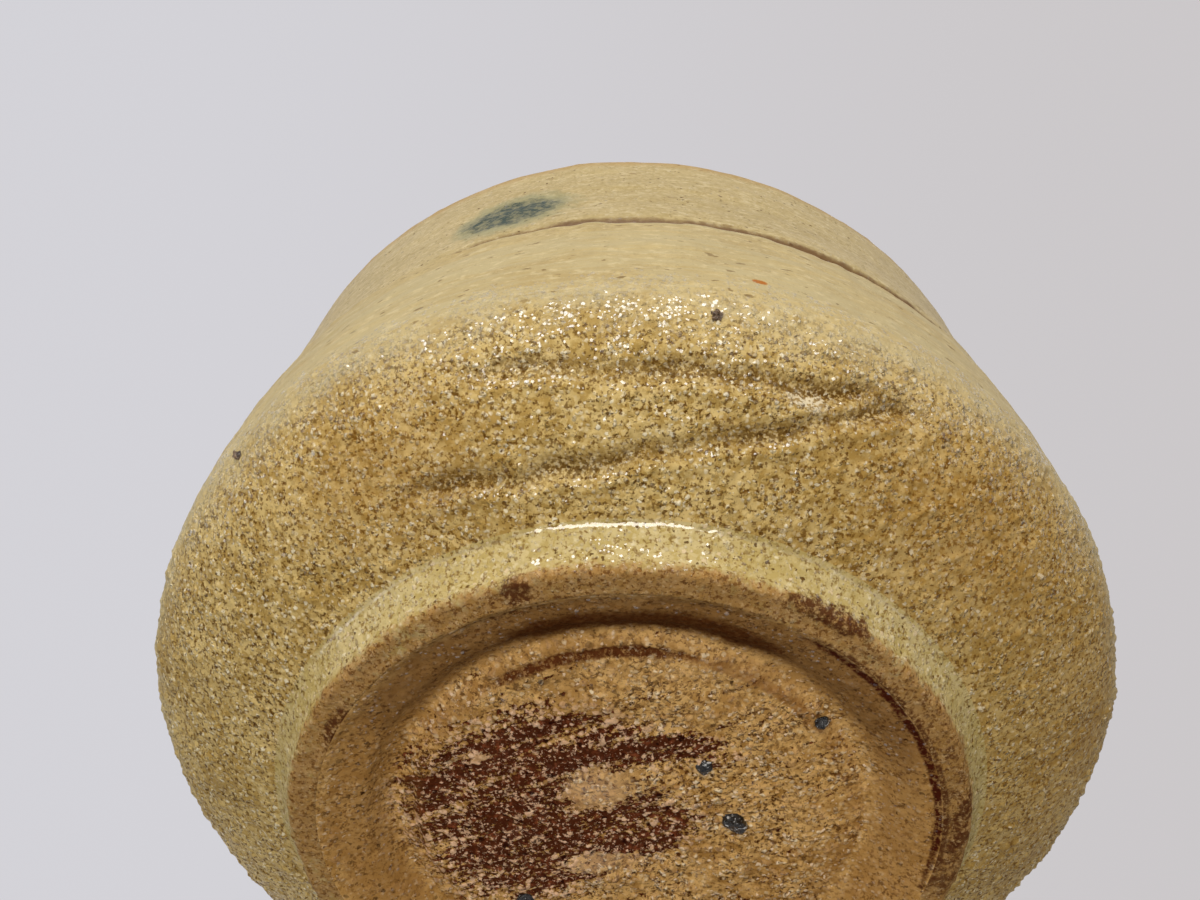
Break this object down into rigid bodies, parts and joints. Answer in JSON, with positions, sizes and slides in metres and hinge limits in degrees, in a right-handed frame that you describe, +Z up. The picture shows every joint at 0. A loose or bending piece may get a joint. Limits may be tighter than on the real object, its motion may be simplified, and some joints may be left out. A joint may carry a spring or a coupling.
{
  "type": "sake cup",
  "caption": "Squat hand-thrown sake cup in ash-glazed stoneware: a full belly, a turned ridge under a near-upright wall, a round lip and a low foot ring round a shallow recess.",
  "frame": {"origin": "middle of the foot's standing face, on the cup's axis", "axes": "+Z up along the cup's axis towards the lip; -Y is the side that the picture sees, with the iron beads of the recess towards +X"},
  "size_m": [0.068, 0.068, 0.0416],
  "materials": {
    "stoneware": "fired buff stoneware, hidden under the glaze",
    "foot_glaze": "thick glossy yellow ash glaze, browned on the standing face",
    "recess_glaze": "tan ash glaze with a scorched iron-brown patch",
    "belly_glaze": "granular glossy ochre ash glaze with dark pits",
    "wall_glaze": "pale smooth ash glaze with a copper-green dab",
    "inner_glaze": "pale ash glaze",
    "iron_grit": "black glassy beads"
  },
  "bodies": {
    "root": {"clay_body": "stoneware", "foot_ring": "foot_glaze", "recess_glaze": "recess_glaze", "belly_glaze": "belly_glaze", "wall_glaze": "wall_glaze", "inner_glaze": "inner_glaze", "iron_grit_1": "iron_grit", "iron_grit_2": "iron_grit", "iron_grit_3": "iron_grit", "iron_grit_4": "iron_grit", "iron_grit_5": "iron_grit", "iron_grit_6": "iron_grit"}
  },
  "joints": []
}
